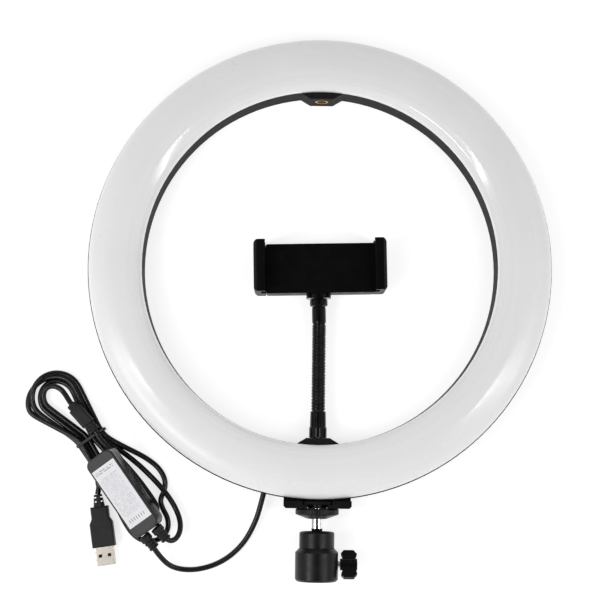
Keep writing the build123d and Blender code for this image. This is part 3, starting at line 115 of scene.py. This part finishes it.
# ---------------------------------------------------------------- materials
class Finish:
    """A Principled material whose colour, roughness and bump come from its own nodes."""

    def __init__(self, name, rough=0.4, metallic=0.0, **sockets):
        self.material = bpy.data.materials.new(name)
        self.material.use_nodes = True
        self.tree = self.material.node_tree
        self.shader = self.tree.nodes["Principled BSDF"]
        self.shader.inputs["Metallic"].default_value = metallic
        self.shader.inputs["Roughness"].default_value = rough
        for socket, value in sockets.items():
            self.shader.inputs[socket.replace("_", " ")].default_value = value
        self.coords = self.node("ShaderNodeTexCoord").outputs["Object"]

    def node(self, kind, **values):
        made = self.tree.nodes.new(kind)
        for key, value in values.items():
            setattr(made, key, value)
        return made

    def link(self, a, b):
        self.tree.links.new(a, b)

    def noise(self, size, detail=3.0, stretch=(1, 1, 1), source=None):
        """Noise with features of about this size in mm."""
        mapping = self.node("ShaderNodeMapping")
        mapping.inputs["Scale"].default_value = [s / (size * MM) for s in stretch]
        self.link(source or self.coords, mapping.inputs["Vector"])
        made = self.node("ShaderNodeTexNoise")
        made.inputs["Scale"].default_value = 1.0
        made.inputs["Detail"].default_value = detail
        self.link(mapping.outputs["Vector"], made.inputs["Vector"])
        return made.outputs["Fac"]

    def ramp(self, fac, stops):
        made = self.node("ShaderNodeValToRGB")
        ramp = made.color_ramp
        while len(ramp.elements) < len(stops):
            ramp.elements.new(0.5)
        for element, (place, value) in zip(ramp.elements, stops):
            element.position = place
            element.color = (*value, 1.0) if isinstance(value, tuple) else (value, value, value, 1.0)
        self.link(fac, made.inputs["Fac"])
        return made.outputs["Color"]

    def mix(self, fac, a, b):
        made = self.node("ShaderNodeMix", data_type="RGBA")
        for socket, value in ((made.inputs[0], fac), (made.inputs[6], a), (made.inputs[7], b)):
            if isinstance(value, bpy.types.NodeSocket):
                self.link(value, socket)
            elif isinstance(value, tuple):
                socket.default_value = (*value, 1.0)
            else:
                socket.default_value = value
        return made.outputs[2]

    def maths(self, operation, *values):
        made = self.node("ShaderNodeMath", operation=operation)
        for socket, value in zip(made.inputs, values):
            if isinstance(value, bpy.types.NodeSocket):
                self.link(value, socket)
            else:
                socket.default_value = value
        return made.outputs[0]

    def band(self, value, low, high):
        """1 where the value in metres lies between low and high in mm."""
        above = self.maths("GREATER_THAN", value, low * MM)
        return self.maths("MULTIPLY", above, self.maths("LESS_THAN", value, high * MM))

    def soft_edges(self, radius):
        """Normal rounded over an edge radius in mm, and a mask of those edges."""
        made = self.node("ShaderNodeBevel", samples=4)
        made.inputs["Radius"].default_value = radius * MM
        turn = self.node("ShaderNodeVectorMath", operation="DOT_PRODUCT")
        self.link(made.outputs["Normal"], turn.inputs[0])
        self.link(self.node("ShaderNodeNewGeometry").outputs["Normal"], turn.inputs[1])
        return made.outputs["Normal"], self.ramp(turn.outputs["Value"], ((0.86, 1.0), (0.985, 0.0)))

    def colour(self, a, b, size, edge=None):
        """Colour that wanders between a and b; edge is a paler colour, how strong, and its mask, for a
        highlight painted along the edges.
        """
        out = self.ramp(self.noise(size), ((0.35, a), (0.65, b)))
        if edge:
            paler, strength, mask = edge
            # painted highlight: a patchy paler colour along the edges
            painted_edge_highlight = self.ramp(self.noise(size * 0.25, 4.0), ((0.3, 0.15 * strength), (0.7, strength)))
            out = self.mix(self.maths("MULTIPLY", mask, painted_edge_highlight), out, paler)
        self.link(out, self.shader.inputs["Base Color"])

    def roughness(self, low, high, size):
        wander = self.ramp(self.noise(size), ((0.3, low), (0.7, high)))
        self.link(wander, self.shader.inputs["Roughness"])

    def bump(self, fac, depth, normal=None):
        """Bump whose full height is depth in mm."""
        made = self.node("ShaderNodeBump")
        made.inputs["Strength"].default_value = 1.0
        made.inputs["Distance"].default_value = depth * MM
        self.link(fac, made.inputs["Height"])
        if normal:
            self.link(normal, made.inputs["Normal"])
        self.link(made.outputs["Normal"], self.shader.inputs["Normal"])
        return made.outputs["Normal"]


def moulded(name, a, b, rough, grain=0.35, depth=0.012, edge=None, blotch=9.0, **sockets):
    """Moulded plastic or rubber: a spark-eroded grain, slight blotches and paler edges painted as
    highlights.
    """
    made = Finish(name, **sockets)
    normal = None
    if edge:
        normal, mask = made.soft_edges(0.5)
        edge = (*edge, mask)
    made.colour(a, b, blotch, edge)
    made.roughness(rough - 0.05, rough + 0.06, 4.0)
    fine = made.bump(made.noise(grain, 2.0), depth, normal)
    made.bump(made.noise(grain * 14, 1.0), depth * 1.5, fine)
    return made.material


def metal(name, a, b, low, high, depth=0.003, size=0.4):
    """Turned or plated metal: its roughness wanders between low and high."""
    made = Finish(name, metallic=1.0)
    made.colour(a, b, 3.0)
    made.roughness(low, high, 1.5)
    made.bump(made.noise(size, 2.0), depth)
    return made.material


def grey(value):
    return (value, value, value)


def opal():
    """Opal acrylic: glossy and faintly dotted on its inner half, satin on its outer half."""
    made = Finish("opal_acrylic", IOR=1.49, Subsurface_Weight=0.1)
    made.shader.inputs["Subsurface Radius"].default_value = (0.004, 0.004, 0.004)
    from_axis = made.node("ShaderNodeVectorMath", operation="LENGTH")
    centred = made.node("ShaderNodeMapping")
    centred.inputs["Location"].default_value = (0, -RING_Y * MM, 0)
    centred.inputs["Scale"].default_value = (1, 1, 0)
    made.link(made.coords, centred.inputs["Vector"])
    made.link(centred.outputs["Vector"], from_axis.inputs[0])
    across = made.maths("DIVIDE", from_axis.outputs["Value"], 0.16)
    inner = made.ramp(across, ((0.80, 1.0), (0.86, 0.0)))
    dots = made.node("ShaderNodeTexVoronoi")
    dots.inputs["Scale"].default_value = 1 / (1.5 * MM)
    dots.inputs["Randomness"].default_value = 0.15
    made.link(made.coords, dots.inputs["Vector"])
    dot = made.ramp(dots.outputs["Distance"], ((0.25, 0.10), (0.5, 0.0)))
    dotted = made.maths("MULTIPLY", inner, dot)
    base = made.ramp(made.noise(40.0), ((0.3, grey(0.87)), (0.7, grey(0.90))))
    made.link(made.mix(dotted, base, (0.55, 0.55, 0.56)), made.shader.inputs["Base Color"])
    wander = made.ramp(made.noise(6.0), ((0.3, 0.0), (0.7, 0.05)))
    satin = made.ramp(across, ((0.83, 0.10), (0.87, 0.27)))
    made.link(made.maths("ADD", satin, wander), made.shader.inputs["Roughness"])
    frost = made.bump(made.noise(0.5, 2.0), 0.004)
    made.bump(made.noise(12.0, 1.0), 0.008, frost)
    return made.material


def controller_case():
    """Matt on the broad face and glossy on the sides, with painted light: the face dark grey as lit, the
    sides black as in shade.
    """
    made = Finish("controller_abs", Specular_IOR_Level=0.3)
    normal, mask = made.soft_edges(0.7)
    facing = made.node("ShaderNodeVectorMath", operation="DOT_PRODUCT")
    facing.inputs[1].default_value = CONTROLLER_UP
    made.link(normal, facing.inputs[0])
    face = made.ramp(facing.outputs["Value"], ((0.72, 0.0), (0.86, 1.0)))
    # painted light and shade: the broad face's colour is a lit dark grey, the sides' colour a shaded black
    lit_face_colour = made.ramp(made.noise(9.0), ((0.35, grey(0.036)), (0.65, grey(0.042))))
    shaded_side_colour = made.ramp(made.noise(5.0), ((0.35, grey(0.003)), (0.65, grey(0.006))))
    body = made.mix(face, shaded_side_colour, lit_face_colour)
    # painted highlight: a paler colour along the case's edges
    painted_edge_highlight = made.maths("MULTIPLY", mask, made.ramp(made.noise(2.0, 4.0), ((0.3, 0.05), (0.7, 0.35))))
    made.link(made.mix(painted_edge_highlight, body, (0.12, 0.12, 0.12)), made.shader.inputs["Base Color"])
    made.link(made.ramp(face, ((0.0, 0.2), (1.0, 0.47))), made.shader.inputs["Roughness"])
    grain = made.bump(made.noise(0.3, 2.0), 0.010, normal)
    made.bump(made.noise(4.0, 1.0), 0.012, grain)
    return made.material


def label_print():
    """White label: a short heading, faint rows and a row of ticks, all strokes with no letters."""
    made = Finish("label_print", rough=0.35, Specular_IOR_Level=0.3)
    local = made.node("ShaderNodeMapping", vector_type="TEXTURE")
    local.inputs["Location"].default_value = LABEL_CENTRE
    local.inputs["Rotation"].default_value = (0, 0, CONTROLLER_HEADING)
    made.link(made.coords, local.inputs["Vector"])
    split = made.node("ShaderNodeSeparateXYZ")
    made.link(local.outputs["Vector"], split.inputs["Vector"])
    down, across = split.outputs["X"], split.outputs["Y"]
    row = made.maths("FRACT", made.maths("MULTIPLY", down, 1 / (1.3 * MM)))
    in_row = made.maths("LESS_THAN", row, 0.55)
    streaks = made.noise(0.5, 1.0, (0.3, 1, 1), local.outputs["Vector"])
    strokes = made.ramp(streaks, ((0.46, 0.0), (0.5, 1.0)))
    in_width = made.band(across, -6.6, 6.6)
    text = made.maths("MULTIPLY", made.maths("MULTIPLY", in_row, strokes), in_width)
    faint = made.maths("MULTIPLY", made.band(down, -14.5, 14.0), 0.32)
    heading = made.maths("MULTIPLY", made.band(down, -19.6, -17.4), 0.75)
    ink = made.maths("MULTIPLY", text, made.maths("ADD", faint, heading))
    column = made.maths("FRACT", made.maths("MULTIPLY", across, 1 / (1.75 * MM)))
    tick = made.maths("LESS_THAN", column, 0.28)
    ticks = made.maths("MULTIPLY", made.maths("MULTIPLY", tick, made.band(down, 16.6, 18.8)), in_width)
    ink = made.maths("MAXIMUM", ink, made.maths("MULTIPLY", ticks, 0.85))
    paper = made.ramp(made.noise(5.0), ((0.3, (0.74, 0.74, 0.77)), (0.7, (0.79, 0.79, 0.82))))
    made.link(made.mix(ink, paper, (0.12, 0.12, 0.13)), made.shader.inputs["Base Color"])
    made.bump(made.noise(0.8), 0.002)
    return made.material


# edge=(colour, strength) below is a paler colour painted along the parts' edges as a highlight
FINISHES = {
    "shell": moulded(
        "shell_plastic", grey(0.009), grey(0.012), 0.6, edge=(grey(0.03), 0.3),
        Specular_IOR_Level=0.08,
    ),
    "opal": opal(),
    "board": moulded("board_mask", grey(0.72), grey(0.78), 0.4, 0.5, 0.004),
    "chip": moulded("chip_phosphor", (0.85, 0.66, 0.16), (0.9, 0.74, 0.25), 0.3, 0.2, 0.004),
    "screw_steel": metal("screw_zinc", grey(0.42), grey(0.55), 0.28, 0.42),
    "brass": metal("brass_turned", (0.62, 0.36, 0.14), (0.72, 0.46, 0.20), 0.22, 0.38),
    "block": moulded(
        "block_plastic", grey(0.003), grey(0.005), 0.4, edge=(grey(0.015), 0.3),
        Specular_IOR_Level=0.15,
    ),
    "grommet": moulded("grommet_rubber", grey(0.012), grey(0.016), 0.6),
    "head_black": moulded(
        "head_paint", grey(0.004), grey(0.006), 0.34, 0.22, 0.008, edge=(grey(0.04), 0.4),
        Specular_IOR_Level=0.22,
    ),
    "chrome": metal("chrome_plate", grey(0.82), grey(0.88), 0.05, 0.10, 0.0008, size=1.5),
    "seat": moulded("seat_nylon", grey(0.5), grey(0.56), 0.4),
    "wing": moulded(
        "wing_plastic", grey(0.002), grey(0.003), 0.3, 0.25, 0.008, edge=(grey(0.04), 0.5),
        Specular_IOR_Level=0.12,
    ),
    "steel": metal("steel_turned", grey(0.45), grey(0.55), 0.2, 0.35),
    "neck_black": moulded(
        "neck_lacquer", grey(0.002), grey(0.003), 0.15, 0.3, 0.002, Specular_IOR_Level=0.22
    ),
    "clamp_plastic": moulded(
        "clamp_abs", grey(0.003), grey(0.0045), 0.38, 0.3, 0.010, edge=(grey(0.008), 0.4),
        Specular_IOR_Level=0.05,
    ),
    "pad": moulded("pad_rubber", grey(0.005), grey(0.008), 0.65, 0.5, 0.02, Specular_IOR_Level=0.2),
    "spring": metal("spring_wire", grey(0.4), grey(0.5), 0.25, 0.4),
    "cord": moulded(
        "cord_pvc", grey(0.003), grey(0.005), 0.28, 1.6, 0.008, blotch=14.0, Specular_IOR_Level=0.35
    ),
    "moulding": moulded(
        "moulded_pvc", grey(0.009), grey(0.013), 0.5, edge=(grey(0.04), 0.4), Specular_IOR_Level=0.3
    ),
    "controller": controller_case(),
    "controller_board": moulded("board_green", (0.01, 0.12, 0.04), (0.02, 0.17, 0.06), 0.35),
    "button": moulded("button_rubber", grey(0.08), grey(0.10), 0.55),
    "label": label_print(),
    "tie": moulded("tie_coating", grey(0.008), grey(0.012), 0.4, 0.4, 0.01),
    "usb_metal": metal(
        "usb_nickel", (0.62, 0.57, 0.51), (0.68, 0.63, 0.57), 0.32, 0.38, 0.0006, size=2.0
    ),
    "tongue": moulded("tongue_nylon", grey(0.010), grey(0.014), 0.45),
}
slot_of = {part["node"]: part["material_slot"] for part in frame["record"]["subparts"]}
for node_name, node in nodes.items():
    node.data.materials.clear()
    node.data.materials.append(FINISHES[slot_of[node_name]])

# ---------------------------------------------------------------- floor
floor_mesh = bpy.data.meshes.new("floor")
REACH = 3.0
floor_corners = [(-REACH, -REACH, 0), (REACH, -REACH, 0), (REACH, REACH, 0), (-REACH, REACH, 0)]
floor_mesh.from_pydata(floor_corners, [], [(0, 1, 2, 3)])
floor = bpy.data.objects.new("floor", floor_mesh)
scene.collection.objects.link(floor)
paper = Finish("floor_paper", rough=0.7, Specular_IOR_Level=0.1)
paper.colour(grey(0.50), grey(0.52), 300.0)
paper.shader.inputs["Emission Color"].default_value = (1.0, 1.0, 1.0, 1.0)
paper.shader.inputs["Emission Strength"].default_value = 0.72
floor_mesh.materials.append(paper.material)
floor.location.z = -0.0001

# ---------------------------------------------------------------- gooseneck
NECK_START = 92.9
NECK_END = 37.2
SECTIONS = 7
SECTION_LENGTH = (NECK_START - NECK_END) / SECTIONS
RIBS_PER_SECTION = 4
RIB_ROWS = 8
SKIN_SIDES = 48
LIP = 0.35
TOP_LIP = 0.55
VALLEY_R = 4.05
RIB_HEIGHT = 0.5
RIB_ROUNDNESS = 0.8
INNER_R = 2.9
KNUCKLE_END = 24
CUP_END = 43
KNUCKLE_R = 3.94
CUP_R = 3.98


def arc(centre, radius, start, end):
    """Points (along, radius) on a sphere about a ball joint, by their angles from the joint's plane."""
    made = []
    for step in range(7):
        angle = math.radians(start + (end - start) * step / 6)
        made.append((centre + radius * math.sin(angle), radius * math.cos(angle)))
    return made


def turned(name, body, foot, profile):
    """A closed shell turned about the neck's axis from a closed profile, riding on a body."""
    points = []
    faces = []
    count = len(profile)
    for side in range(SKIN_SIDES):
        angle = 2 * math.pi * side / SKIN_SIDES
        for along, radius in profile:
            side_x = radius * math.cos(angle)
            points.append(mm(side_x, foot + along, NECK_Z + radius * math.sin(angle)))
        here = side * count
        after = (side + 1) % SKIN_SIDES * count
        for row in range(count):
            above = (row + 1) % count
            faces.append((here + row, here + above, after + above, after + row))
    mesh = bpy.data.meshes.new(name)
    mesh.from_pydata(points, [], faces)
    mesh.polygons.foreach_set("use_smooth", [True] * len(faces))
    mesh.set_sharp_from_angle(angle=math.radians(50))
    mesh.materials.append(FINISHES["neck_black"])
    piece = bpy.data.objects.new(name, mesh)
    scene.collection.objects.link(piece)
    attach(piece, body)
    return piece


def neck_skin(number):
    """The ribbed skin of one section, with a cup at its foot and a knuckle at its head."""
    pitch = SECTION_LENGTH / RIBS_PER_SECTION
    rows = RIBS_PER_SECTION * RIB_ROWS
    top_lip = LIP if number < SECTIONS else TOP_LIP
    ribs = []
    for row in range(rows + 1):
        along = LIP + (SECTION_LENGTH - LIP - top_lip) * row / rows
        crest = abs(math.sin(math.pi * along / pitch)) ** RIB_ROUNDNESS
        ribs.append((along, VALLEY_R + RIB_HEIGHT * crest))
    foot_cup = arc(0, CUP_R, CUP_END, math.degrees(math.asin(LIP / CUP_R)))
    lip_angle = -math.degrees(math.asin(top_lip / CUP_R))
    if number < SECTIONS:
        head = arc(SECTION_LENGTH, KNUCKLE_R, lip_angle, KNUCKLE_END)
        head.append((SECTION_LENGTH + 1.5, INNER_R))
    else:
        head = arc(SECTION_LENGTH, CUP_R, lip_angle, -CUP_END)
    foot = RING_Y - NECK_START + SECTION_LENGTH * (number - 1)
    skin = turned(f"neck_skin_{number}", f"neck_{number}", foot, foot_cup + ribs + head)
    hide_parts(f"neck_section_{number}")


for number in range(1, SECTIONS + 1):
    neck_skin(number)
low_knuckle = [*arc(0, KNUCKLE_R, -20, KNUCKLE_END), (1.5, INNER_R), (-1.3, INNER_R)]
turned("neck_knuckle_low", "neck_base", RING_Y - NECK_START, low_knuckle)
high_knuckle = [*arc(0, KNUCKLE_R, -KNUCKLE_END, 20), (1.3, INNER_R), (-1.5, INNER_R)]
turned("neck_knuckle_high", "neck_top", RING_Y - NECK_END, high_knuckle)

# ---------------------------------------------------------------- cords
TIE = Vector((-146.5, -85.1))
BUNDLE_HEADING = math.radians(-54.9)
ALONG = Vector((-math.cos(BUNDLE_HEADING), -math.sin(BUNDLE_HEADING)))
ACROSS = Vector((-math.sin(BUNDLE_HEADING), math.cos(BUNDLE_HEADING)))
TIE_PASS = 3.5


def bundle(u, v, z):
    """Point u mm up the bundle from the tie, v mm across it and z mm up."""
    flat = TIE + ALONG * u + ACROSS * v
    return (flat.x, flat.y, z)


def passing(slot, way):
    """Two points that take the cord straight through the tie; way is 1 going up the bundle."""
    v, z = slot
    return [bundle(-TIE_PASS * way, v, z), bundle(TIE_PASS * way, v, z)]


def turn(way, centre, across, along, out_slot, in_slot, heights, bend=0.0):
    """One turn of the hank, from the tie round its end and back, as 13 points."""
    u, v = centre
    out_z, side_z, top_z, back_z, in_z = heights
    points = []
    for part in (0.3, 0.66):
        reach = TIE_PASS * way + (u - TIE_PASS * way) * part
        swell = bend * math.sin(math.pi * part)
        side = out_slot[0] + (v + across - out_slot[0]) * part + swell
        points.append(bundle(reach, side, out_z + (side_z - out_z) * part))
    for step in range(9):
        angle = math.pi * step / 8
        if step <= 4:
            lift = side_z + (top_z - side_z) * step / 4
        else:
            lift = top_z + (back_z - top_z) * (step - 4) / 4
        points.append(bundle(u + way * along * math.sin(angle), v + across * math.cos(angle), lift))
    for part in (0.34, 0.7):
        reach = u + (TIE_PASS * way - u) * part
        swell = bend * math.sin(math.pi * part)
        side = v - across + (in_slot[0] - v + across) * part - swell
        points.append(bundle(reach, side, back_z + (in_z - back_z) * part))
    return points


RING_LEAD = [
    (-33.3, -114.7, 8.0), (-35.9, -126.0, 8.0), (-39.4, -138.0, 5.4), (-47.0, -152.2, 2.6),
    (-59.8, -163.4, 1.8), (-75.8, -168.9, 1.8), (-90.6, -168.2, 3.4), (-99.4, -161.2, 9.0),
    (-105.5, -151.4, 13.7),
]
OUT_A, OUT_B, OUT_C, OUT_E = (7.7, 2.1), (4.3, 2.1), (0.9, 2.1), (3.9, 8.0)
IN_A, IN_B, IN_C, IN_E = (-9.0, 2.1), (-7.3, 5.3), (-5.6, 2.1), (-2.3, 2.1)
USB_LEAD = [
    (-98.0, -146.0, 15.9), (-94.6, -149.7, 14.8), (-90.2, -149.5, 12.6), (-87.2, -144.6, 9.9),
    (-87.3, -137.6, 7.4), (-90.6, -129.6, 5.8), (-95.6, -122.0, 5.3), (-100.6, -116.2, 5.3),
    (-106.4, -110.2, 5.2), (-113.6, -103.6, 4.0), (-122.0, -97.0, 2.4), (-130.6, -91.2, 1.9),
    (-137.6, -87.2, 2.0),
]
USB_LEAD += passing(OUT_B, 1)
USB_LEAD += turn(1, (35.0, -7.6), 16.7, 14.4, OUT_B, IN_B, (1.9, 4.0, 2.0, 1.8, 5.2))
USB_LEAD += passing(IN_B, -1)
USB_LEAD += turn(-1, (-57.0, 2.0), -9.2, 10.0, IN_B, OUT_E, (5.3, 5.3, 5.3, 5.3, 6.6), -2.2)
USB_LEAD += [
    bundle(-5.5, 4.4, 8.0), bundle(0.2, 4.9, 8.1),
    (-143.7, -80.9, 8.1), (-151.6, -72.4, 8.1), (-159.5, -63.9, 8.1),
]
USB_LEAD += turn(1, (33.5, -5.6), 7.2, 9.6, (0.9, 8.1), IN_E, (8.0, 5.6, 5.3, 3.0, 1.9))[2:]
USB_LEAD += passing(IN_E, -1)
USB_LEAD += turn(-1, (-45.0, 1.5), -7.2, 7.6, IN_E, OUT_C, (1.9, 1.8, 1.8, 1.8, 2.0))
USB_LEAD += passing(OUT_C, 1)
USB_LEAD += turn(1, (33.0, -4.6), 11.2, 12.6, OUT_C, IN_C, (1.9, 1.8, 1.8, 1.8, 2.0))
USB_LEAD += passing(IN_C, -1)
USB_LEAD += [
    bundle(-14.0, -6.0, 1.8), bundle(-26.0, -6.8, 1.8), bundle(-37.0, -9.0, 1.8), bundle(-48.0, -11.2, 1.8),
    bundle(-58.5, -12.4, 1.8), bundle(-67.0, -12.2, 1.8), bundle(-73.6, -9.4, 1.8), bundle(-77.8, -3.8, 1.8),
    bundle(-79.2, 2.6, 1.8), bundle(-76.6, 8.6, 1.8), bundle(-70.6, 12.2, 1.8), bundle(-63.6, 12.6, 1.8),
    bundle(-58.0, 14.4, 1.8), bundle(-54.6, 20.6, 1.8), bundle(-49.0, 24.6, 1.8), bundle(-40.4, 25.2, 1.8),
    bundle(-30.4, 21.8, 1.8), bundle(-20.4, 16.2, 1.8), bundle(-11.4, 11.2, 1.9),
]
USB_LEAD += passing(OUT_A, 1)
USB_LEAD += turn(1, (34.5, -4.3), 16.1, 16.2, OUT_A, IN_A, (1.9, 1.8, 4.6, 2.6, 2.0))
USB_LEAD += passing(IN_A, -1)
USB_LEAD += [
    bundle(-10.5, -8.9, 2.2), bundle(-17.0, -9.2, 2.8), bundle(-22.8, -10.4, 3.6), bundle(-27.4, -12.8, 4.0),
    (-140.5, -116.2, 4.0), (-141.3, -121.4, 4.0),
]


def cord_curve(name, route):
    """The cord as one smooth spline through its route, on the ring's body."""
    data = bpy.data.curves.new(name, "CURVE")
    data.dimensions = "3D"
    data.bevel_depth = CORD_D / 2 * MM
    data.bevel_resolution = 5
    data.resolution_u = 8
    data.use_fill_caps = True
    spline = data.splines.new("NURBS")
    spline.points.add(len(route) - 1)
    for point, (x, y, z) in zip(spline.points, route):
        point.co = (x * MM, y * MM, z * MM, 1.0)
    spline.order_u = 3
    spline.use_endpoint_u = True
    spline.use_smooth = True
    obj = bpy.data.objects.new(name, data)
    scene.collection.objects.link(obj)
    data.materials.append(FINISHES["cord"])
    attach(obj, "ring")
    return obj


ring_cord = cord_curve("ring_cord", RING_LEAD)
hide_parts("ring_lead")
usb_cord = cord_curve("usb_cord", USB_LEAD)
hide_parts("usb_lead", "plug_lead", "cord_hank")
